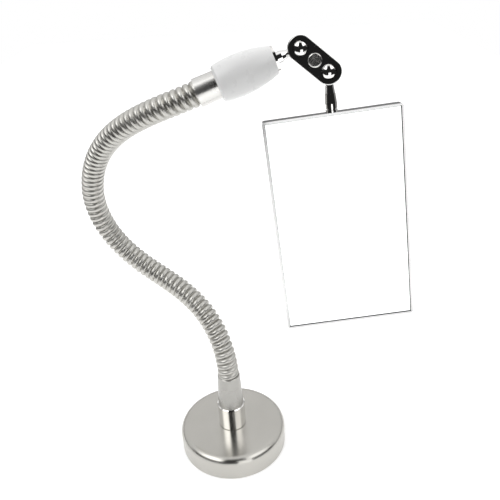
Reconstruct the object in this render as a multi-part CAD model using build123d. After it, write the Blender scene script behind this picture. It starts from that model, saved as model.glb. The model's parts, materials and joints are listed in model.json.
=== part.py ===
from build123d import *
import math
import os

# Inspection mirror on a gooseneck with a magnetic foot. Millimetres.
# The origin is the centre of the foot's flat underside, and +Z is up.
# The mirror faces -Y, and the gooseneck loops out to -X and +Y.

# Foot: a pot magnet, which is a steel cup around a disc magnet.
BASE_DIAMETER = 50.8
BASE_HEIGHT = 11.6
BASE_EDGE_ROUND = 3.2
BASE_RIM_CHAMFER = 0.4
CUP_WALL = 2.0
CUP_TOP = 3.6
POTTING_WIDTH = 1.5
POTTING_FIT = 0.02

# Post: a polished ring under a brushed, tapered collar.
RING_STEP = 0.45
RING_HEIGHT = 12.6
RING_CHAMFER = 0.4
SPIGOT_LENGTH = 6.0
STUD_DIAMETER = 6.0
STUD_GRIP = 9.0
STUD_CHAMFER = 0.5
THREAD_FIT = 0.05
COLLAR_FOOT_WALL = 1.8
COLLAR_TOP_WALL = 0.9
COLLAR_HEIGHT = 17.4
COLLAR_CHAMFER = 0.25
SLEEVE_FIT = 0.05

# Gooseneck: nested links, each a ribbed tube with a ball that turns in the next link's socket.
HOSE_DIAMETER = 9.7
HOSE_BORE_DIAMETER = 4.0
HOSE_LENGTH = 196.5
RIBS_PER_LINK = 6
RIB_HEIGHT = 0.65
RIB_ROOT = 0.4
RIB_FOOT = 1.1
RIB_CREST = 0.7
BALL_SOCKET_WALL = 0.6
BALL_BORE_DIAMETER = 3.2
BALL_FIT = 0.2
LINK_GAP = 1.0
TAIL_IN_COLLAR = 8.0
TAIL_IN_FERRULE = 4.8
# How far each link bends in degrees, and towards which side: 0 is +X and 90 is +Y
# at the foot, and the side is carried along the gooseneck without twist.
HOSE_BENDS = [
    (27, 120),
    (21, 140),
    (16, 160),
    (10, 180),
    (9, 265),
    (16, 300),
    (21, 310),
    (23, 310),
    (20, 315),
    (16, 305),
    (13, 305),
    (11, 315),
    (10, 345),
    (14, 10),
    (19, 35),
]

# Ferrule at the gooseneck's upper end, and the plastic barrel that it holds.
FERRULE_FOOT_WALL = 1.25
FERRULE_TOP_WALL = 1.05
FERRULE_LENGTH = 8.2
FERRULE_FLOOR = 0.2
BARREL_SPIGOT_STEP = 0.8
BARREL_SPIGOT_LENGTH = 8.0
BARREL_LENGTH = 22.7
BARREL_WALL = 2.45
BARREL_SWELL = 0.7
BARREL_WAIST_AT = 8.7
BARREL_NOSE_WALL = 2.3
BARREL_BEVEL = 0.8
BARREL_CAVITY = 15.0
NOSE_RING_STEP = 0.25
NOSE_RING_LENGTH = 1.0
NOSE_SLEEVE_WALL = 0.95

# Two ball studs, one at each end of the clamp.
STUD_BALL_DIAMETER = 8.0
NECK_ROOM = 0.7
NECK_PAST_PLATE = 0.35
BARREL_STEM_DIAMETER = 4.6
BARREL_STEM_FLARE = 2.3
BARREL_STEM_STRAIGHT = 2.2
BARREL_SHANK_DIAMETER = 4.0
SHANK_NUT_ROOM = 0.5
SHANK_NUT_HEIGHT = 2.6
THRUST_WASHER_ROOM = 0.35
THRUST_WASHER_THICKNESS = 0.6
SHANK_TIP = 0.6
SPIN_FIT = 0.05

# Clamp: two plates that a screw and a nut pull together over the balls.
PLATE_MARGIN = 0.75
PLATE_THICKNESS = 1.2
PLATE_EDGE_ROUND = 0.35
BALL_WINDOW_DIAMETER = 5.8
SEAT_DEPTH = 0.455
SEAT_FIT = 0.05
SCREW_DIAMETER = 3.0
SCREW_HOLE_FIT = 0.1
SCREW_ROOM = 1.2
SCREW_HEAD_DIAMETER = 5.2
SCREW_HEAD_HEIGHT = 1.4
SCREW_HEAD_ROUND = 0.5
CROSS_WIDTH = 0.7
CROSS_LENGTH = 2.9
CROSS_DEPTH = 0.9
SPRING_WASHER_DIAMETER = 5.4
SPRING_WASHER_THICKNESS = 0.8
CLAMP_NUT_FLATS = 5.5
CLAMP_NUT_HEIGHT = 2.4
SCREW_TIP = 0.5
# The clamp's face leans up and turns a little, and its line drops towards the mirror.
CLAMP_LEAN = 10.0
CLAMP_TURN = -3.0
CLAMP_DROP = 40.0

# Mirror: a steel tray that holds the glass on a pad, below a grooved socket on its top edge.
MIRROR_WIDTH = 54.0
MIRROR_HEIGHT = 89.0
FRAME_WALL = 0.8
FRAME_BACK = 0.6
FRAME_CORNER = 1.0
FRAME_EDGE_ROUND = 0.25
PAD_THICKNESS = 1.0
GLASS_THICKNESS = 3.0
GLASS_BEVEL = 0.3
GLASS_SET_BACK = 0.3
GLASS_FIT = 0.1
MIRROR_STEM_FLARE = 3.0
SOCKET_MOUTH_DIAMETER = 4.1
SOCKET_DIAMETER = 4.7
SOCKET_TAPER = 3.6
SOCKET_LENGTH = 6.9
SOCKET_FLOOR = 1.1
SOCKET_GROOVE_DEPTH = 0.3
SOCKET_GROOVE_WIDTH = 0.6
SOCKET_GROOVE_AT = 0.9
MIRROR_STEM_DIAMETER = 3.9
MIRROR_SHANK_DIAMETER = 2.6
CRIMP_DEPTH = 0.25
CRIMP_WIDTH = 0.6
CRIMP_AT = 3.4
# The mirror leans back and its top tips towards -X.
MIRROR_LEAN = 8.0
MIRROR_ROLL = 4.65

# Sizes that follow from the ones above, as radii, lengths and heights.
BASE_RADIUS = BASE_DIAMETER / 2
CUP_RADIUS = BASE_RADIUS - CUP_WALL
MAGNET_RADIUS = CUP_RADIUS - POTTING_WIDTH
MAGNET_DEPTH = BASE_HEIGHT - CUP_TOP
HOSE_RADIUS = HOSE_DIAMETER / 2
HOSE_CORE = HOSE_RADIUS - RIB_HEIGHT
HOSE_BORE = HOSE_BORE_DIAMETER / 2
SLEEVE_BORE = HOSE_CORE + SLEEVE_FIT
LINK_LENGTH = HOSE_LENGTH / len(HOSE_BENDS)
LINK_SOCKET = HOSE_CORE - BALL_SOCKET_WALL
LINK_BALL = LINK_SOCKET - BALL_FIT
COLLAR_FOOT = SLEEVE_BORE + COLLAR_FOOT_WALL
COLLAR_MOUTH = SLEEVE_BORE + COLLAR_TOP_WALL
RING_RADIUS = COLLAR_FOOT + RING_STEP
RING_TOP = BASE_HEIGHT + RING_HEIGHT
COLLAR_TOP = RING_TOP + COLLAR_HEIGHT
FERRULE_FOOT = SLEEVE_BORE + FERRULE_FOOT_WALL
FERRULE_TOP = SLEEVE_BORE + FERRULE_TOP_WALL
BARREL_SPIGOT = FERRULE_TOP - BARREL_SPIGOT_STEP
BARREL_BORE = BARREL_SPIGOT + SLEEVE_FIT
BARREL_FOOT = BARREL_BORE + BARREL_WALL
BARREL_WAIST = BARREL_FOOT + BARREL_SWELL
CAVITY_END = FERRULE_LENGTH + BARREL_CAVITY
NOSE_AT = FERRULE_LENGTH + BARREL_LENGTH
SHANK = BARREL_SHANK_DIAMETER / 2
SHANK_BORE = SHANK + SPIN_FIT
NOSE_SLEEVE = SHANK_BORE + NOSE_SLEEVE_WALL
NOSE_BORE = NOSE_SLEEVE + SLEEVE_FIT
BARREL_NOSE = NOSE_BORE + BARREL_NOSE_WALL
STUD_BALL = STUD_BALL_DIAMETER / 2
BALL_WINDOW = BALL_WINDOW_DIAMETER / 2
PLATE_INNER = math.sqrt(STUD_BALL**2 - BALL_WINDOW**2) - SEAT_DEPTH
PLATE_OUTER = PLATE_INNER + PLATE_THICKNESS
PLATE_WIDTH = STUD_BALL_DIAMETER + 2 * PLATE_MARGIN
BALL_SPACING = STUD_BALL_DIAMETER + SCREW_DIAMETER + 2 * SCREW_ROOM
NECK = PLATE_INNER - NECK_ROOM
NECK_LENGTH = PLATE_WIDTH / 2 + NECK_PAST_PLATE
BARREL_STEM_REACH = NECK_LENGTH + BARREL_STEM_FLARE + BARREL_STEM_STRAIGHT
BALL_1_AT = NOSE_AT + NOSE_RING_LENGTH + BARREL_STEM_REACH
BUSH_FACE = BALL_1_AT - CAVITY_END + SPIN_FIT
NUT_FACE = BUSH_FACE + THRUST_WASHER_THICKNESS
STEM_LENGTH = NECK_LENGTH + MIRROR_STEM_FLARE + SOCKET_LENGTH
FRAME_DEPTH = FRAME_BACK + PAD_THICKNESS + GLASS_THICKNESS + GLASS_SET_BACK


def turned(points):
    """A solid turned about Z from corners given as (radius, height)."""
    outline = Polyline(*[(radius, 0, height) for radius, height in points], close=True)
    return revolve(make_face(outline), Axis.Z)


def rims(solid, radius, height):
    """The circular edges of that radius whose centre is at that height."""
    found = []
    for edge in solid.edges().filter_by(GeomType.CIRCLE):
        right_size = abs(edge.radius - radius) < 1e-4
        if right_size and abs(edge.arc_center.Z - height) < 1e-4:
            found.append(edge)
    return found


def hexagon(flats, height, bore_radius):
    """A hex nut that stands on Z = 0."""
    blank = extrude(RegularPolygon(flats / 2, 6, major_radius=False), height)
    return blank - Cylinder(bore_radius, height * 3)


# Frames of the assembly, each a Location.


def arc_at(bend, fraction):
    """The frame part of the way along a link that leaves along Z and bends towards X."""
    radius = LINK_LENGTH / math.radians(bend)
    angle = math.radians(bend) * fraction
    plane = Plane(
        origin=(radius * (1 - math.cos(angle)), 0, radius * math.sin(angle)),
        x_dir=(math.cos(angle), 0, -math.sin(angle)),
        z_dir=(math.sin(angle), 0, math.cos(angle)),
    )
    return plane.location


def hose_starts():
    """The frame at the start of each link, with X towards its bend, then the hose's end."""
    carried = Pos(0, 0, COLLAR_TOP)
    starts = []
    for bend, side in HOSE_BENDS:
        start = carried * Rot(0, 0, side)
        starts.append(start)
        carried = start * arc_at(bend, 1) * Rot(0, 0, -side)
    starts.append(carried)
    return starts


def clamp_frame(ball_1):
    """The clamp's frame at the first ball: X runs to the second ball, and Z is the screw's way."""
    facing = Rot(0, 0, CLAMP_TURN) * Rot(90 - CLAMP_LEAN, 0, 0) * Rot(0, 0, -CLAMP_DROP)
    return Pos(*ball_1) * facing


def mirror_frame_at(ball_2):
    """The mirror's frame at the middle of its tray: X is across, Y up and Z to the front."""
    facing = Rot(90 - MIRROR_LEAN, 0, 0) * Rot(0, 0, MIRROR_ROLL)
    return Pos(*ball_2) * facing * Pos(0, -(STEM_LENGTH + MIRROR_HEIGHT / 2), 0)


def assembly_frames():
    """Every frame that pieces are placed in, by name."""
    starts = hose_starts()
    grip = starts[-1]
    ball_1 = grip * Pos(0, 0, BALL_1_AT)
    clamp = clamp_frame(ball_1.position)
    ball_2 = clamp * Pos(BALL_SPACING, 0, 0)
    mirror = mirror_frame_at(ball_2.position)
    ball_2_stem = mirror * Pos(0, STEM_LENGTH + MIRROR_HEIGHT / 2, 0) * Rot(90, 0, 0)
    return {
        "links": starts[:-1],
        "grip": grip,
        "stud_1": ball_1 * Rot(180, 0, 0),
        "clamp": clamp,
        "stud_2": ball_2_stem,
        "mirror": mirror,
    }


# Foot and post.


def base_cup():
    cup = turned(
        [
            (0, MAGNET_DEPTH),
            (CUP_RADIUS, MAGNET_DEPTH),
            (CUP_RADIUS, 0),
            (BASE_RADIUS, 0),
            (BASE_RADIUS, BASE_HEIGHT),
            (0, BASE_HEIGHT),
        ]
    )
    cup -= Pos(0, 0, BASE_HEIGHT) * Cylinder(STUD_DIAMETER / 2 + THREAD_FIT, CUP_TOP * 3)
    cup = fillet(rims(cup, BASE_RADIUS, BASE_HEIGHT), BASE_EDGE_ROUND)
    return chamfer(rims(cup, BASE_RADIUS, 0), BASE_RIM_CHAMFER)


def disc_magnet():
    return Pos(0, 0, MAGNET_DEPTH / 2) * Cylinder(MAGNET_RADIUS, MAGNET_DEPTH)


def magnet_potting():
    inner = MAGNET_RADIUS + POTTING_FIT
    outer = CUP_RADIUS - POTTING_FIT
    return turned([(inner, 0), (outer, 0), (outer, MAGNET_DEPTH), (inner, MAGNET_DEPTH)])


def post_stud():
    length = CUP_TOP + STUD_GRIP
    stud = Pos(0, 0, MAGNET_DEPTH + length / 2) * Cylinder(STUD_DIAMETER / 2, length)
    return chamfer(rims(stud, STUD_DIAMETER / 2, MAGNET_DEPTH + length), STUD_CHAMFER)


def post_ring():
    spigot = SLEEVE_BORE - SLEEVE_FIT
    bore = STUD_DIAMETER / 2 + THREAD_FIT
    bore_top = BASE_HEIGHT + STUD_GRIP + SLEEVE_FIT
    ring = turned(
        [
            (bore, BASE_HEIGHT),
            (RING_RADIUS, BASE_HEIGHT),
            (RING_RADIUS, RING_TOP),
            (spigot, RING_TOP),
            (spigot, RING_TOP + SPIGOT_LENGTH),
            (0, RING_TOP + SPIGOT_LENGTH),
            (0, bore_top),
            (bore, bore_top),
        ]
    )
    edges = rims(ring, RING_RADIUS, RING_TOP) + rims(ring, RING_RADIUS, BASE_HEIGHT)
    return chamfer(edges, RING_CHAMFER)


def collar():
    sleeve = turned(
        [
            (SLEEVE_BORE, RING_TOP),
            (COLLAR_FOOT, RING_TOP),
            (COLLAR_MOUTH, COLLAR_TOP),
            (SLEEVE_BORE, COLLAR_TOP),
        ]
    )
    return chamfer(rims(sleeve, COLLAR_MOUTH, COLLAR_TOP), COLLAR_CHAMFER)


# Gooseneck.


def hose_ring():
    """One turn of the gooseneck's outer winding, centred on Z = 0 and rooted in the core."""
    root = HOSE_CORE - RIB_ROOT
    return turned(
        [
            (root, -RIB_FOOT / 2),
            (HOSE_RADIUS, -RIB_CREST / 2),
            (HOSE_RADIUS, RIB_CREST / 2),
            (root, RIB_FOOT / 2),
        ]
    )


def hose_core(bend, starts_at, ends_at):
    """The curved tube between two distances along the link."""
    radius = LINK_LENGTH / math.radians(bend)
    annulus = Circle(HOSE_CORE) - Circle(HOSE_BORE)
    section = arc_at(bend, starts_at / LINK_LENGTH) * annulus
    centre = Axis((radius, 0, 0), (0, 1, 0))
    return revolve(section, centre, bend * (ends_at - starts_at) / LINK_LENGTH)


def hose_tail(length):
    """The straight, unribbed end that a sleeve holds, up from Z = 0."""
    return turned([(HOSE_BORE, 0), (HOSE_CORE, 0), (HOSE_CORE, length), (HOSE_BORE, length)])


def hose_link(index):
    """One link in its own frame, with the socket at its start and the ball at its end."""
    bend = HOSE_BENDS[index][0]
    first = index == 0
    last = index == len(HOSE_BENDS) - 1
    starts_at = 0 if first else LINK_GAP / 2
    ends_at = LINK_LENGTH if last else LINK_LENGTH - LINK_GAP / 2
    link = hose_core(bend, starts_at, ends_at)
    end = arc_at(bend, 1)
    for rib in range(RIBS_PER_LINK):
        link += arc_at(bend, (rib + 0.5) / RIBS_PER_LINK) * hose_ring()
    if first:
        link += Pos(0, 0, -TAIL_IN_COLLAR) * hose_tail(TAIL_IN_COLLAR)
    else:
        link -= Sphere(LINK_SOCKET)
    if last:
        link += end * hose_tail(TAIL_IN_FERRULE)
    else:
        bore = Cylinder(BALL_BORE_DIAMETER / 2, 2 * LINK_BALL)
        link += end * (Sphere(LINK_BALL) - bore)
        link -= end * Pos(0, 0, -LINK_BALL) * bore
    return link


# Ferrule and barrel, along Z from the gooseneck's end.


def ferrule():
    bore_depth = TAIL_IN_FERRULE + FERRULE_FLOOR
    spigot_top = FERRULE_LENGTH + BARREL_SPIGOT_LENGTH
    return turned(
        [
            (SLEEVE_BORE, 0),
            (FERRULE_FOOT, 0),
            (FERRULE_TOP, FERRULE_LENGTH),
            (BARREL_SPIGOT, FERRULE_LENGTH),
            (BARREL_SPIGOT, spigot_top),
            (0, spigot_top),
            (0, bore_depth),
            (SLEEVE_BORE, bore_depth),
        ]
    )


def barrel():
    """A convex handle, bevelled where it meets the ferrule."""
    bevel_end = (BARREL_FOOT, 0, FERRULE_LENGTH + BARREL_BEVEL)
    nose = (BARREL_NOSE, 0, NOSE_AT)
    inside = Polyline(
        nose,
        (NOSE_BORE, 0, NOSE_AT),
        (NOSE_BORE, 0, CAVITY_END),
        (BARREL_BORE, 0, CAVITY_END),
        (BARREL_BORE, 0, FERRULE_LENGTH),
        (BARREL_FOOT - BARREL_BEVEL, 0, FERRULE_LENGTH),
        bevel_end,
    )
    outside = ThreePointArc(bevel_end, (BARREL_WAIST, 0, FERRULE_LENGTH + BARREL_WAIST_AT), nose)
    return revolve(make_face(inside + outside), Axis.Z)


def barrel_nose_ring():
    """The flanged bush that closes the barrel and guides the ball stud's shank."""
    flange = BARREL_NOSE - NOSE_RING_STEP
    return turned(
        [
            (SHANK_BORE, CAVITY_END),
            (NOSE_SLEEVE, CAVITY_END),
            (NOSE_SLEEVE, NOSE_AT),
            (flange, NOSE_AT),
            (flange, NOSE_AT + NOSE_RING_LENGTH),
            (SHANK_BORE, NOSE_AT + NOSE_RING_LENGTH),
        ]
    )


# Ball studs, each with its ball at the origin and its stem up Z.


def stud_with_ball(profile):
    """A turned stem, given by its corners beyond the neck, fused to its ball."""
    stem = turned([(0, 0), (NECK, 0), (NECK, NECK_LENGTH)] + profile)
    return stem + Sphere(STUD_BALL)


def ball_stud_1():
    stem = BARREL_STEM_DIAMETER / 2
    shoulder = BARREL_STEM_REACH - SPIN_FIT
    tip = NUT_FACE + SHANK_NUT_HEIGHT + SHANK_TIP
    return stud_with_ball(
        [
            (stem, NECK_LENGTH + BARREL_STEM_FLARE),
            (stem, shoulder),
            (SHANK, shoulder),
            (SHANK, tip),
            (0, tip),
        ]
    )


def thrust_washer():
    outer = BARREL_BORE - THRUST_WASHER_ROOM
    return turned(
        [(SHANK_BORE, BUSH_FACE), (outer, BUSH_FACE), (outer, NUT_FACE), (SHANK_BORE, NUT_FACE)]
    )


def shank_nut():
    flats = 2 * (BARREL_BORE - SHANK_NUT_ROOM) * math.cos(math.radians(30))
    return Pos(0, 0, NUT_FACE) * hexagon(flats, SHANK_NUT_HEIGHT, SHANK_BORE)


def ball_stud_2():
    stem = MIRROR_STEM_DIAMETER / 2
    shank = MIRROR_SHANK_DIAMETER / 2
    mouth = STEM_LENGTH - SOCKET_LENGTH
    crimp = mouth + CRIMP_AT
    groove = shank - CRIMP_DEPTH
    tip = STEM_LENGTH - SOCKET_FLOOR - SPIN_FIT
    return stud_with_ball(
        [
            (stem, mouth - SPIN_FIT),
            (shank, mouth - SPIN_FIT),
            (shank, crimp - SPIN_FIT),
            (groove, crimp - SPIN_FIT),
            (groove, crimp + CRIMP_WIDTH + SPIN_FIT),
            (shank, crimp + CRIMP_WIDTH + SPIN_FIT),
            (shank, tip),
            (0, tip),
        ]
    )


# Clamp, with the first ball at the origin, the second along X and the screw along Z.


def clamp_plate():
    """The front plate, in its place."""
    middle = BALL_SPACING / 2
    outline = Pos(middle, 0) * SlotCenterToCenter(BALL_SPACING, PLATE_WIDTH)
    plate = Pos(0, 0, PLATE_INNER) * extrude(outline, PLATE_THICKNESS)
    plate = fillet(plate.faces().sort_by(Axis.Z)[-1].edges(), PLATE_EDGE_ROUND)
    for at in (0, BALL_SPACING):
        plate -= Pos(at, 0, PLATE_INNER) * Cylinder(BALL_WINDOW, PLATE_THICKNESS * 3)
        plate -= Pos(at, 0, 0) * Sphere(STUD_BALL + SEAT_FIT)
    hole = SCREW_DIAMETER / 2 + SCREW_HOLE_FIT
    return plate - Pos(middle, 0, PLATE_INNER) * Cylinder(hole, PLATE_THICKNESS * 3)


def plate_back():
    """The same plate turned over about the line of the balls."""
    return Rot(180, 0, 0) * clamp_plate()


def clamp_screw():
    bottom = -(PLATE_OUTER + SPRING_WASHER_THICKNESS + CLAMP_NUT_HEIGHT + SCREW_TIP)
    top = PLATE_OUTER + SCREW_HEAD_HEIGHT
    shank = SCREW_DIAMETER / 2
    head = SCREW_HEAD_DIAMETER / 2
    screw = turned(
        [(0, bottom), (shank, bottom), (shank, PLATE_OUTER), (head, PLATE_OUTER), (head, top), (0, top)]
    )
    screw = fillet(rims(screw, head, top), SCREW_HEAD_ROUND)
    slot = Pos(0, 0, top) * Box(CROSS_LENGTH, CROSS_WIDTH, CROSS_DEPTH * 2)
    return Pos(BALL_SPACING / 2, 0, 0) * (screw - slot - Rot(0, 0, 90) * slot)


def spring_washer():
    bore = SCREW_DIAMETER / 2 + SCREW_HOLE_FIT
    outer = SPRING_WASHER_DIAMETER / 2
    top = -PLATE_OUTER
    bottom = top - SPRING_WASHER_THICKNESS
    washer = turned([(bore, bottom), (outer, bottom), (outer, top), (bore, top)])
    return Pos(BALL_SPACING / 2, 0, 0) * washer


def clamp_nut():
    bottom = -(PLATE_OUTER + SPRING_WASHER_THICKNESS + CLAMP_NUT_HEIGHT)
    nut = hexagon(CLAMP_NUT_FLATS, CLAMP_NUT_HEIGHT, SCREW_DIAMETER / 2 + THREAD_FIT)
    return Pos(BALL_SPACING / 2, 0, bottom) * nut


# Mirror, with the tray's middle at the origin and its front towards Z.


def mirror_frame():
    tray = Box(MIRROR_WIDTH, MIRROR_HEIGHT, FRAME_DEPTH)
    tray = fillet(tray.edges().filter_by(Axis.Z), FRAME_CORNER)
    tray = fillet(tray.faces().sort_by(Axis.Z)[0].edges(), FRAME_EDGE_ROUND)
    inside = Box(MIRROR_WIDTH - 2 * FRAME_WALL, MIRROR_HEIGHT - 2 * FRAME_WALL, FRAME_DEPTH)
    return tray - Pos(0, 0, FRAME_BACK) * inside


def mirror_pad():
    width = MIRROR_WIDTH - 2 * (FRAME_WALL + GLASS_FIT)
    height = MIRROR_HEIGHT - 2 * (FRAME_WALL + GLASS_FIT)
    middle = FRAME_BACK + PAD_THICKNESS / 2 - FRAME_DEPTH / 2
    return Pos(0, 0, middle) * Box(width, height, PAD_THICKNESS)


def mirror_glass():
    width = MIRROR_WIDTH - 2 * (FRAME_WALL + GLASS_FIT)
    height = MIRROR_HEIGHT - 2 * (FRAME_WALL + GLASS_FIT)
    glass = Box(width, height, GLASS_THICKNESS)
    glass = chamfer(glass.faces().sort_by(Axis.Z)[-1].edges(), GLASS_BEVEL)
    front = FRAME_DEPTH / 2 - GLASS_SET_BACK
    return Pos(0, 0, front - GLASS_THICKNESS / 2) * glass


def stem_socket():
    """The grooved socket that stands on the tray's top edge and holds the ball stud's shank."""
    foot = SOCKET_DIAMETER / 2
    bore = MIRROR_SHANK_DIAMETER / 2 + SPIN_FIT
    groove = SOCKET_GROOVE_AT + SOCKET_GROOVE_WIDTH
    crimp_top = SOCKET_LENGTH - CRIMP_AT
    crimp_foot = crimp_top - CRIMP_WIDTH
    socket = turned(
        [
            (0, 0),
            (foot, 0),
            (foot, SOCKET_GROOVE_AT),
            (foot - SOCKET_GROOVE_DEPTH, SOCKET_GROOVE_AT),
            (foot - SOCKET_GROOVE_DEPTH, groove),
            (foot, groove),
            (foot, SOCKET_LENGTH - SOCKET_TAPER),
            (SOCKET_MOUTH_DIAMETER / 2, SOCKET_LENGTH),
            (bore, SOCKET_LENGTH),
            (bore, crimp_top),
            (bore - CRIMP_DEPTH + SPIN_FIT, crimp_top),
            (bore - CRIMP_DEPTH + SPIN_FIT, crimp_foot),
            (bore, crimp_foot),
            (bore, SOCKET_FLOOR),
            (0, SOCKET_FLOOR),
        ]
    )
    return Pos(0, MIRROR_HEIGHT / 2, 0) * Rot(-90, 0, 0) * socket


def all_parts():
    """Every piece in its place, by node name."""
    frames = assembly_frames()
    parts = {
        "base_cup": base_cup(),
        "disc_magnet": disc_magnet(),
        "magnet_potting": magnet_potting(),
        "post_stud": post_stud(),
        "post_ring": post_ring(),
        "collar": collar(),
    }
    for index, start in enumerate(frames["links"]):
        parts[f"hose_link_{index + 1:02d}"] = start * hose_link(index)
    for make in (ferrule, barrel, barrel_nose_ring):
        parts[make.__name__] = frames["grip"] * make()
    for make in (ball_stud_1, thrust_washer, shank_nut):
        parts[make.__name__] = frames["stud_1"] * make()
    parts["plate_front"] = frames["clamp"] * clamp_plate()
    for make in (plate_back, clamp_screw, spring_washer, clamp_nut):
        parts[make.__name__] = frames["clamp"] * make()
    parts["ball_stud_2"] = frames["stud_2"] * ball_stud_2()
    for make in (mirror_frame, mirror_pad, mirror_glass, stem_socket):
        parts[make.__name__] = frames["mirror"] * make()
    return parts


def main():
    os.makedirs("parts", exist_ok=True)
    for name, piece in all_parts().items():
        export_step(piece, os.path.join("parts", name + ".step"))


if __name__ == "__main__":
    main()
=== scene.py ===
"""The looks of a gooseneck inspection mirror on a magnetic foot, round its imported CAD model, in metres."""

import json
import math

import bpy
from mathutils import Matrix, Vector

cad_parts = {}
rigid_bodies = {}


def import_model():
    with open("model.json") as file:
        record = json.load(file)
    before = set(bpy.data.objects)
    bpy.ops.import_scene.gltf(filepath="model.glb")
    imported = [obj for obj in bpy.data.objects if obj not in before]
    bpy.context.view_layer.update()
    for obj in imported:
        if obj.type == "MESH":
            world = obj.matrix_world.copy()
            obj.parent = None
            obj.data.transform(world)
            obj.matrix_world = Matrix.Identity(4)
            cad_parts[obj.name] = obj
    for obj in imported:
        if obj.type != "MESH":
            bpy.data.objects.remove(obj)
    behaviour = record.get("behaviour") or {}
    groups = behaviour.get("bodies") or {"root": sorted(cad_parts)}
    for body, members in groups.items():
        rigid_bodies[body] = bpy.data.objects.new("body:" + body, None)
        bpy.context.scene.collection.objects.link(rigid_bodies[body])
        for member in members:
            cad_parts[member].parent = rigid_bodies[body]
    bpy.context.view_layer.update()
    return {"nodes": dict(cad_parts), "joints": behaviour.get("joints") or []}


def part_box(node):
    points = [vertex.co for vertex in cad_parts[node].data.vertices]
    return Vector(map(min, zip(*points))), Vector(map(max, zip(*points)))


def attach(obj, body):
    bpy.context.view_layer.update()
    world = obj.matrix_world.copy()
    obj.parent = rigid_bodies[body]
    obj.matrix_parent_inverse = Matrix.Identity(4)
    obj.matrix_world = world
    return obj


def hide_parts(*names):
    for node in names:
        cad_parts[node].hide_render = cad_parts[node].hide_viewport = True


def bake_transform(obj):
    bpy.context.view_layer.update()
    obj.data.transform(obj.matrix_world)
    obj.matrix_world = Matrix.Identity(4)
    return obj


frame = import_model()

# Camera: its place, and how it is turned. Angles are in degrees.
CAMERA_PLACE = Vector((0.0135, -0.2168, 0.2278))
CAMERA_DOWN = 29.1
CAMERA_ROLL = 3.42
CAMERA_LENS = 43.04
CAMERA_SENSOR = 36.0

# Studio: a white tent over a white floor. Its dark opening spans the photographer's side, and rises higher
# in the middle, between a key light on the left and a weaker one on the right. The tent's brightness depends
# on the direction, a vector one unit long: z points up, x right and -y towards the photographer.
FLOOR_BACK = 1.2
FLOOR_FRONT = 0.30
FLOOR_SIDE = 0.45
FLOOR_WHITE = (0.90, 0.90, 0.90)
FLOOR_GLOW = 0.36
LEVEL_BRIGHTNESS = 0.22
WALL_BRIGHTNESS = 0.92
WALL_HEIGHT = 0.40
ROOF_BRIGHTNESS = 0.20
ROOF_HEIGHT = 0.7
KEY_LEFT = 2.2
KEY_RIGHT = 1.1
OPENING_DARK = 0.018
OPENING_TOP = 0.50
OPENING_RISE = 0.45
OPENING_MIDDLE = 0.30
OPENING_SOFTNESS = 0.05
FRONT_FULL = -0.25
FRONT_NONE = 0.1
KEY_FULL = 0.45
KEY_NONE = 0.2
KEY_SOFTNESS = 0.15
OVERHEAD_PLACE = (-0.1, -0.1, 0.8)
OVERHEAD_TARGET = (0.0, 0.0, 0.1)
OVERHEAD_SIZE = 0.5
OVERHEAD_WATTS = 0.33
CARD_LEFT = 0.03
CARD_RIGHT = 0.155
CARD_TOP = 0.172
CARD_PLACE = -0.245
CARD_GLOW = 0.80

# Gooseneck: a strip wound round and round, so its ribs climb as a helix. A rib's top is flatter for a higher
# HOSE_FLATNESS, and HOSE_OPENING is how much a bend deepens the grooves on its outside.
HOSE_RADIUS = 0.00485
HOSE_GROOVE = 0.0009
HOSE_PITCH = 0.0131 / 5
HOSE_ROWS_PER_TURN = 18
HOSE_SIDES = 56
HOSE_OPENING = 2.0
HOSE_FLATNESS = 3.0
SHALLOWEST_GROOVE = 0.35
ROUNDEST_RIB = 0.6
BEND_STEP = 0.01
GRIP_TO_BALL = 0.0415

# Edges sharper than this many degrees stay sharp when a mesh is shaded smooth.
SHARP_RIB_EDGE = 50
SHARP_CAD_EDGE = 35


def joint(name):
    """The named joint's record."""
    return next(j for j in frame["joints"] if j["name"] == name)


def link_object(name, mesh):
    """A new object that shows the mesh, linked to the scene."""
    made = bpy.data.objects.new(name, mesh)
    bpy.context.scene.collection.objects.link(made)
    return made


def smooth(mesh, sharp_degrees):
    """Shades the mesh smooth, apart from edges sharper than this."""
    mesh.polygons.foreach_set("use_smooth", [True] * len(mesh.polygons))
    mesh.set_sharp_from_angle(angle=math.radians(sharp_degrees))


# ---------------------------------------------------------------- studio


def make_camera():
    """A camera that looks along +Y and down, leaning a little to one side."""
    down, roll = math.radians(CAMERA_DOWN), math.radians(CAMERA_ROLL)
    forward = Vector((0, math.cos(down), -math.sin(down)))
    level = Vector((1, 0, 0))
    upright = level.cross(forward)
    right = level * math.cos(roll) - upright * math.sin(roll)
    up = upright * math.cos(roll) + level * math.sin(roll)
    data = bpy.data.cameras.new("camera")
    data.sensor_width = CAMERA_SENSOR
    data.lens = CAMERA_LENS
    data.clip_start = 0.01
    data.clip_end = 40
    camera = bpy.data.objects.new("camera", data)
    bpy.context.scene.collection.objects.link(camera)
    turn = Matrix((right, up, -forward)).transposed().to_4x4()
    camera.matrix_world = Matrix.Translation(CAMERA_PLACE) @ turn
    bpy.context.scene.camera = camera


def ramp_node(tree, value, start, end, low, high):
    """A smooth change from low to high while the value goes from start to end."""
    node = tree.nodes.new("ShaderNodeMapRange")
    node.interpolation_type = "SMOOTHSTEP"
    for name, number in (("From Min", start), ("From Max", end), ("To Min", low), ("To Max", high)):
        node.inputs[name].default_value = number
    tree.links.new(value, node.inputs["Value"])
    return node.outputs["Result"]


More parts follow.
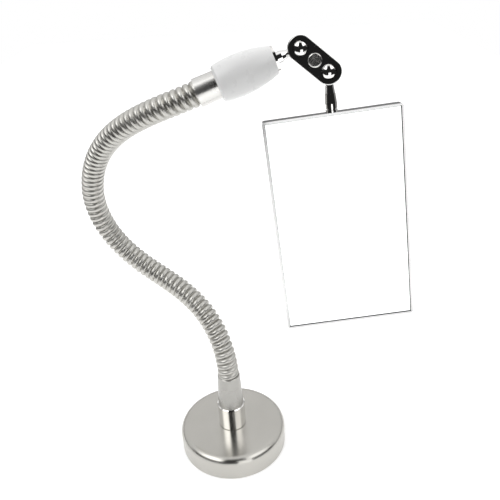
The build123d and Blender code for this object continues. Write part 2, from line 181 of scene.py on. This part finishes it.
def key_lights(tree, x, z, front):
    """The brightness that the two key lights add, high up at the sides of the front."""
    left = ramp_node(tree, x, -KEY_FULL, -KEY_NONE, KEY_LEFT, 0.0)
    right = ramp_node(tree, x, KEY_NONE, KEY_FULL, 0.0, KEY_RIGHT)
    high = ramp_node(tree, z, OPENING_TOP, OPENING_TOP + KEY_SOFTNESS, 0.0, 1.0)
    both = math_node(tree, "ADD", left, right)
    return math_node(tree, "MULTIPLY", both, math_node(tree, "MULTIPLY", high, front))


def closed_share(tree, x, z, front):
    """0 in the dark opening and 1 where the tent is closed."""
    aside = math_node(tree, "ABSOLUTE", x)
    rise = ramp_node(tree, aside, 0.5 * OPENING_MIDDLE, 1.5 * OPENING_MIDDLE, OPENING_RISE, 0.0)
    height = math_node(tree, "SUBTRACT", z, rise)
    above = ramp_node(tree, height, OPENING_TOP - OPENING_SOFTNESS, OPENING_TOP + OPENING_SOFTNESS, 0.0, 1.0)
    return math_node(tree, "MAXIMUM", above, math_node(tree, "SUBTRACT", 1.0, front))


def make_world():
    """The tent's brightness in each direction, for reflections and light. The camera itself sees white."""
    world = bpy.data.worlds.new("studio")
    bpy.context.scene.world = world
    world.use_nodes = True
    tree = world.node_tree
    place = tree.nodes.new("ShaderNodeTexCoord")
    parts = tree.nodes.new("ShaderNodeSeparateXYZ")
    tree.links.new(place.outputs["Generated"], parts.inputs[0])
    x, y, z = parts.outputs
    walls = ramp_node(tree, z, 0.0, WALL_HEIGHT, LEVEL_BRIGHTNESS, WALL_BRIGHTNESS)
    roof = ramp_node(tree, z, ROOF_HEIGHT, 1.0, 0.0, ROOF_BRIGHTNESS)
    cover = math_node(tree, "ADD", walls, roof)
    front = ramp_node(tree, y, FRONT_FULL, FRONT_NONE, 1.0, 0.0)
    keys = key_lights(tree, x, z, front)
    lit = math_node(tree, "ADD", cover, keys)
    tent = math_node(tree, "MULTIPLY", lit, closed_share(tree, x, z, front))
    path = tree.nodes.new("ShaderNodeLightPath")
    seen = math_node(tree, "ADD", tent, OPENING_DARK)
    brightness = math_node(tree, "MAXIMUM", seen, path.outputs["Is Camera Ray"])
    tree.links.new(brightness, tree.nodes["Background"].inputs["Strength"])
    tree.nodes["Background"].inputs["Color"].default_value = (1, 1, 1, 1)


def make_overhead_light():
    """A square soft light that reflections and the camera don't show."""
    data = bpy.data.lights.new("overhead", "AREA")
    data.shape = "SQUARE"
    data.size = OVERHEAD_SIZE
    data.energy = OVERHEAD_WATTS
    light = bpy.data.objects.new("overhead", data)
    bpy.context.scene.collection.objects.link(light)
    light.location = OVERHEAD_PLACE
    light.rotation_mode = "QUATERNION"
    direction = Vector(OVERHEAD_TARGET) - Vector(OVERHEAD_PLACE)
    light.rotation_quaternion = direction.to_track_quat("-Z", "Y")
    light.visible_glossy = False
    light.visible_camera = False


def stage_sheet(name, corners, colour, glow):
    """A flat matt sheet that belongs to the studio."""
    material, shader = new_material("studio_" + name, colour, 0.7)
    shader.inputs["Specular IOR Level"].default_value = 0.1
    shader.inputs["Emission Color"].default_value = (1, 1, 1, 1)
    shader.inputs["Emission Strength"].default_value = glow
    mesh = bpy.data.meshes.new(name)
    mesh.from_pydata(corners, [], [(0, 1, 2, 3)])
    mesh.materials.append(material)
    sheet = link_object(name, mesh)
    return sheet


def make_floor():
    """A plain pale floor at the height that the foot rests on, and a white card that the mirror faces."""
    side, front, back = FLOOR_SIDE, -FLOOR_FRONT, FLOOR_BACK
    corners = [(-side, front, 0), (side, front, 0), (side, back, 0), (-side, back, 0)]
    stage_sheet("floor", corners, FLOOR_WHITE, FLOOR_GLOW)
    left, right, top, place = CARD_LEFT, CARD_RIGHT, CARD_TOP, CARD_PLACE
    corners = [(left, place, 0), (right, place, 0), (right, place, top), (left, place, top)]
    stage_sheet("card", corners, FLOOR_WHITE, CARD_GLOW).visible_camera = False


# ---------------------------------------------------------------- materials


def new_material(name, colour, roughness, metallic=0.0):
    """A material and its main shader."""
    material = bpy.data.materials.new(name)
    material.use_nodes = True
    shader = material.node_tree.nodes["Principled BSDF"]
    shader.inputs["Base Color"].default_value = (*colour, 1)
    shader.inputs["Roughness"].default_value = roughness
    shader.inputs["Metallic"].default_value = metallic
    return material, shader


def math_node(tree, operation, first, second=None):
    """A Math node's result, for sockets or plain numbers."""
    node = tree.nodes.new("ShaderNodeMath")
    node.operation = operation
    for socket, value in zip(node.inputs, (first, second)):
        if isinstance(value, (int, float)):
            socket.default_value = value
        elif value is not None:
            tree.links.new(value, socket)
    return node.outputs[0]


def noise(tree, vector, scale, detail=3.0, roughness=0.5):
    """A noise texture's value at that vector."""
    node = tree.nodes.new("ShaderNodeTexNoise")
    node.inputs["Scale"].default_value = scale
    node.inputs["Detail"].default_value = detail
    node.inputs["Roughness"].default_value = roughness
    tree.links.new(vector, node.inputs["Vector"])
    return node.outputs["Fac"]


def coordinates(tree):
    """The object's own coordinates, in metres."""
    return tree.nodes.new("ShaderNodeTexCoord").outputs["Object"]


def turned_coordinates(tree, point, axis):
    """Height along an axis and distance from it, for lathe lines, which don't change round the axis."""
    offset = tree.nodes.new("ShaderNodeVectorMath")
    offset.operation = "SUBTRACT"
    offset.inputs[1].default_value = point
    tree.links.new(coordinates(tree), offset.inputs[0])
    height = tree.nodes.new("ShaderNodeVectorMath")
    height.operation = "DOT_PRODUCT"
    height.inputs[1].default_value = axis
    tree.links.new(offset.outputs[0], height.inputs[0])
    length = tree.nodes.new("ShaderNodeVectorMath")
    length.operation = "LENGTH"
    tree.links.new(offset.outputs[0], length.inputs[0])
    squared = math_node(tree, "MULTIPLY", length.outputs["Value"], length.outputs["Value"])
    along = math_node(tree, "MULTIPLY", height.outputs["Value"], height.outputs["Value"])
    rest = math_node(tree, "SUBTRACT", squared, along)
    away = math_node(tree, "SQRT", math_node(tree, "MAXIMUM", rest, 0.0))
    joined = tree.nodes.new("ShaderNodeCombineXYZ")
    tree.links.new(height.outputs["Value"], joined.inputs[0])
    tree.links.new(away, joined.inputs[1])
    return joined.outputs[0]


def vary_roughness(tree, shader, value, low, high):
    """Lets a 0 to 1 value move the shader's roughness between low and high."""
    spread = tree.nodes.new("ShaderNodeMapRange")
    spread.inputs["From Min"].default_value = 0.3
    spread.inputs["From Max"].default_value = 0.7
    spread.inputs["To Min"].default_value = low
    spread.inputs["To Max"].default_value = high
    tree.links.new(value, spread.inputs["Value"])
    tree.links.new(spread.outputs["Result"], shader.inputs["Roughness"])


def add_bump(tree, shader, height, depth):
    """Bumps as deep as this many metres."""
    bump = tree.nodes.new("ShaderNodeBump")
    bump.inputs["Strength"].default_value = 1.0
    bump.inputs["Distance"].default_value = depth
    tree.links.new(height, bump.inputs["Height"])
    tree.links.new(bump.outputs["Normal"], shader.inputs["Normal"])


def vary_colour(tree, shader, value, first, second):
    """Lets a 0 to 1 value mix two colours on the shader."""
    ramp = tree.nodes.new("ShaderNodeValToRGB")
    ramp.color_ramp.elements[0].position = 0.3
    ramp.color_ramp.elements[1].position = 0.7
    ramp.color_ramp.elements[0].color = (*first, 1)
    ramp.color_ramp.elements[1].color = (*second, 1)
    tree.links.new(value, ramp.inputs["Fac"])
    tree.links.new(ramp.outputs["Color"], shader.inputs["Base Color"])


def turned_metal(name, point, axis, first, second, low, high, depth, anisotropy=0.0):
    """Metal with fine lathe or brush lines round an axis."""
    material, shader = new_material(name, first, low, 1.0)
    tree = material.node_tree
    lines = noise(tree, turned_coordinates(tree, point, axis), 2600.0, 4.0)
    patches = noise(tree, coordinates(tree), 90.0, 4.0)
    vary_colour(tree, shader, patches, first, second)
    vary_roughness(tree, shader, patches, low, high)
    add_bump(tree, shader, lines, depth)
    if anisotropy:
        shader.inputs["Anisotropic"].default_value = anisotropy
        tangent = tree.nodes.new("ShaderNodeTangent")
        tangent.direction_type = "RADIAL"
        tangent.axis = "Z"
        shader.inputs["Anisotropic Rotation"].default_value = 0.25
        tree.links.new(tangent.outputs["Tangent"], shader.inputs["Tangent"])
    return material


def polished_metal(name, first, second, low, high):
    """Bright plated metal with faint wipe marks and a slight unevenness."""
    material, shader = new_material(name, first, low, 1.0)
    tree = material.node_tree
    place = coordinates(tree)
    smudges = noise(tree, place, 110.0, 4.0, 0.5)
    vary_colour(tree, shader, smudges, first, second)
    vary_roughness(tree, shader, smudges, low, high)
    add_bump(tree, shader, noise(tree, place, 350.0, 2.0), 0.0000006)
    return material


def paint(node, material):
    """Gives a CAD node this material."""
    mesh = frame["nodes"][node].data
    mesh.materials.clear()
    mesh.materials.append(material)


def make_materials():
    """Every material of the object, by name."""
    up, origin = Vector((0, 0, 1)), Vector((0, 0, 0))
    grip_axis = Vector(joint("clamp_spin")["axis"]).normalized()
    grip_point = Vector(joint("clamp_spin")["pos_m"])
    foot_tint, foot_pale = (0.49, 0.479, 0.447), (0.51, 0.498, 0.466)
    collar_tint, collar_pale = (0.38, 0.373, 0.353), (0.40, 0.393, 0.373)
    ferrule_tint, ferrule_pale = (0.68, 0.672, 0.65), (0.72, 0.712, 0.69)
    made = {
        "foot": turned_metal(
            "foot_brushed_chrome", origin, up, foot_tint, foot_pale, 0.22, 0.25, 0.000002, 0.85
        ),
        "collar": turned_metal(
            "collar_brushed_chrome", origin, up, collar_tint, collar_pale, 0.22, 0.33, 0.000003
        ),
        "ring": polished_metal("ring_polished_chrome", (0.80, 0.79, 0.77), (0.84, 0.83, 0.81), 0.05, 0.1),
        "hose": polished_metal("gooseneck_steel", (0.53, 0.521, 0.49), (0.58, 0.571, 0.54), 0.33, 0.41),
        "ferrule": turned_metal(
            "ferrule_satin_chrome", grip_point, grip_axis, ferrule_tint, ferrule_pale, 0.26, 0.32, 0.000002
        ),
        "chrome": polished_metal("clamp_chrome", (0.62, 0.62, 0.61), (0.70, 0.70, 0.69), 0.04, 0.08),
        "ball": polished_metal("ball_chrome", (0.80, 0.795, 0.785), (0.85, 0.845, 0.835), 0.05, 0.09),
        "frame": polished_metal("frame_chrome", (0.54, 0.54, 0.54), (0.565, 0.565, 0.565), 0.07, 0.11),
        "hardware": polished_metal("zinc_plated_steel", (0.62, 0.62, 0.6), (0.72, 0.71, 0.69), 0.18, 0.32),
    }
    made["plastic"] = white_plastic()
    made["glass"] = silvered_glass()
    made["magnet"] = rough_solid("ferrite", (0.035, 0.034, 0.035), (0.06, 0.058, 0.057), 0.5, 0.75, 900.0)
    epoxy_dark, epoxy_pale = (0.015, 0.015, 0.016), (0.03, 0.03, 0.032)
    made["potting"] = rough_solid("black_epoxy", epoxy_dark, epoxy_pale, 0.25, 0.45, 400.0)
    made["foam"] = rough_solid("foam", (0.05, 0.05, 0.052), (0.09, 0.09, 0.093), 0.85, 0.98, 2500.0)
    return made


def white_plastic():
    """Moulded white plastic: glossy, with a very slight orange peel."""
    material, shader = new_material("white_plastic", (0.87, 0.87, 0.865), 0.3)
    tree = material.node_tree
    place = coordinates(tree)
    vary_colour(tree, shader, noise(tree, place, 60.0, 2.0), (0.865, 0.865, 0.86), (0.875, 0.875, 0.87))
    vary_roughness(tree, shader, noise(tree, place, 300.0, 4.0), 0.24, 0.36)
    add_bump(tree, shader, noise(tree, place, 900.0, 2.0), 0.000003)
    shader.inputs["Specular IOR Level"].default_value = 0.5
    return material


def silvered_glass():
    """Mirror glass: almost perfectly flat, with a faint haze of dust."""
    material, shader = new_material("silvered_glass", (0.93, 0.945, 0.94), 0.01, 1.0)
    tree = material.node_tree
    place = coordinates(tree)
    vary_roughness(tree, shader, noise(tree, place, 45.0, 5.0, 0.65), 0.004, 0.02)
    vary_colour(tree, shader, noise(tree, place, 14.0, 2.0), (0.925, 0.94, 0.935), (0.95, 0.96, 0.957))
    return material


def rough_solid(name, first, second, low, high, scale):
    """A dull solid with a fine grain."""
    material, shader = new_material(name, first, low)
    tree = material.node_tree
    grain = noise(tree, coordinates(tree), scale, 4.0)
    vary_colour(tree, shader, grain, first, second)
    vary_roughness(tree, shader, grain, low, high)
    add_bump(tree, shader, grain, 0.00004)
    return material


# ---------------------------------------------------------------- gooseneck


class Bend:
    """One link's centre line: a round arc that leaves its start along a direction and ends at a point."""

    def __init__(self, start, end, direction):
        chord = end - start
        self.start, self.direction = start, direction.normalized()
        self.turn = 2 * self.direction.angle(chord)
        self.length = chord.length
        if self.turn >= 1e-6:
            self.length = chord.length * (self.turn / 2) / math.sin(self.turn / 2)
        side = chord - self.direction * chord.dot(self.direction)
        self.side = side.normalized() if side.length > 1e-9 else self.direction.orthogonal().normalized()
        self.end_direction = self.direction_at(1.0)

    def direction_at(self, share):
        """The way that the line goes at this share of its length."""
        angle = self.turn * share
        return self.direction * math.cos(angle) + self.side * math.sin(angle)

    def point_at(self, share):
        """The point at this share of the length."""
        angle = self.turn * share
        if self.turn < 1e-6:
            return self.start + self.direction * self.length * share
        radius = self.length / self.turn
        forward = self.direction * radius * math.sin(angle)
        return self.start + forward + self.side * radius * (1 - math.cos(angle))

    def curvature(self):
        """How sharply the line turns, per metre, towards its side."""
        return self.turn / self.length


def hose_bends():
    """The gooseneck's links, from the collar's top to the grip, as arcs through the CAD model's joints."""
    foot = Vector((0, 0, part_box("collar")[1].z))
    hinges = [j for j in frame["joints"] if j["name"].startswith("hose_flex")]
    hinges.sort(key=lambda j: j["name"])
    grip = joint("clamp_spin")
    end = Vector(grip["pos_m"]) - Vector(grip["axis"]).normalized() * GRIP_TO_BALL
    points = [foot] + [Vector(h["pos_m"]) for h in hinges] + [end]
    bends, direction = [], Vector((0, 0, 1))
    for first, second in zip(points, points[1:]):
        bends.append(Bend(first, second, direction))
        direction = bends[-1].end_direction
    return bends, hinges


def transported(side, old, new):
    """A sideways direction carried along the line without twisting."""
    turned = old.rotation_difference(new) @ side
    return (turned - new * turned.dot(new)).normalized()


def rib_radius(along, angle, squeeze):
    """The outline of the winding: ribs with narrow grooves, which open on the outside of a bend."""
    turns = along / HOSE_PITCH - angle / (2 * math.pi)
    flatness = HOSE_FLATNESS * max(ROUNDEST_RIB, 1 - HOSE_OPENING * squeeze)
    crown = 1 - abs(2 * (turns % 1) - 1) ** flatness
    depth = HOSE_GROOVE * max(SHALLOWEST_GROOVE, 1 + HOSE_OPENING * squeeze)
    return HOSE_RADIUS - depth * (1 - crown)


def hose_rows(bends):
    """Rows of points round the gooseneck, with the place and link share of each row."""
    rows, along, side, last = [], 0.0, Vector((1, 0, 0)), Vector((0, 0, 1))
    for number, bend in enumerate(bends):
        steps = 2 * round(bend.length / HOSE_PITCH * HOSE_ROWS_PER_TURN / 2)
        for step in range(steps + (number == len(bends) - 1)):
            share = step / steps
            direction = bend.direction_at(share)
            side = transported(side, last, direction)
            last = direction
            rows.append((number + share, bend, share, direction, side, along + bend.length * share))
        along += bend.length
    return rows


def hose_ring(row):
    """The points of one row."""
    _, bend, share, direction, side, along = row
    centre, across = bend.point_at(share), direction.cross(side)
    inward = bend.direction_at(share + BEND_STEP) - bend.direction_at(share - BEND_STEP)
    inward = inward.normalized() if inward.length > 1e-9 else Vector((0, 0, 0))
    ring = []
    for number in range(HOSE_SIDES):
        angle = 2 * math.pi * number / HOSE_SIDES
        out = side * math.cos(angle) + across * math.sin(angle)
        squeeze = -out.dot(inward) * bend.curvature() * HOSE_RADIUS
        ring.append(centre + out * rib_radius(along, angle, squeeze))
    return ring


def hose_piece(name, rows, material):
    """A length of gooseneck from its rows."""
    rings = [hose_ring(row) for row in rows]
    faces = []
    for level in range(len(rings) - 1):
        for number in range(HOSE_SIDES):
            after = (number + 1) % HOSE_SIDES
            low, high = level * HOSE_SIDES, (level + 1) * HOSE_SIDES
            faces.append((low + number, low + after, high + after, high + number))
    mesh = bpy.data.meshes.new(name)
    mesh.from_pydata([point for ring in rings for point in ring], [], faces)
    smooth(mesh, SHARP_RIB_EDGE)
    mesh.materials.append(material)
    return link_object(name, mesh)


def make_hose(material):
    """The gooseneck as lengths cut halfway along each link, so that each inner length holds one of the CAD
    model's hinges. The first and last lengths ride on the bodies at the ends; the inner ones are baked in
    place and ride on none.
    """
    bends, hinges = hose_bends()
    rows = hose_rows(bends)
    middles = [0.0] + [number + 0.5 for number in range(len(bends))] + [float(len(bends))]
    for number, (low, high) in enumerate(zip(middles, middles[1:])):
        part = [row for row in rows if low - 1e-6 <= row[0] <= high + 1e-6]
        piece = hose_piece(f"gooseneck_{number + 1:02d}", part, material)
        if number == 0:
            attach(piece, hinges[0]["parent"])
            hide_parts("hose_link_01")
        elif number == len(bends):
            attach(piece, hinges[-1]["child"])
        else:
            start, end = bends[number - 1].point_at(0.5), bends[number].point_at(0.5)
            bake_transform(piece)
            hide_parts(f"hose_link_{number + 1:02d}")


# ---------------------------------------------------------------- the object

NODE_MATERIALS = {
    "foot": ["base_cup"],
    "ring": ["post_ring", "barrel_nose_ring", "stem_socket"],
    "collar": ["collar"],
    "ferrule": ["ferrule"],
    "plastic": ["barrel"],
    "chrome": ["plate_front", "plate_back"],
    "ball": ["ball_stud_1", "ball_stud_2"],
    "frame": ["mirror_frame"],
    "glass": ["mirror_glass"],
    "foam": ["mirror_pad"],
    "magnet": ["disc_magnet"],
    "potting": ["magnet_potting"],
    "hardware": ["clamp_screw", "post_stud", "thrust_washer", "shank_nut", "spring_washer", "clamp_nut"],
}


def main():
    bpy.context.scene.view_settings.view_transform = "Standard"
    make_camera()
    make_world()
    make_floor()
    make_overhead_light()
    materials = make_materials()
    for name, nodes in NODE_MATERIALS.items():
        for node in nodes:
            paint(node, materials[name])
            smooth(frame["nodes"][node].data, SHARP_CAD_EDGE)
    make_hose(materials["hose"])


main()
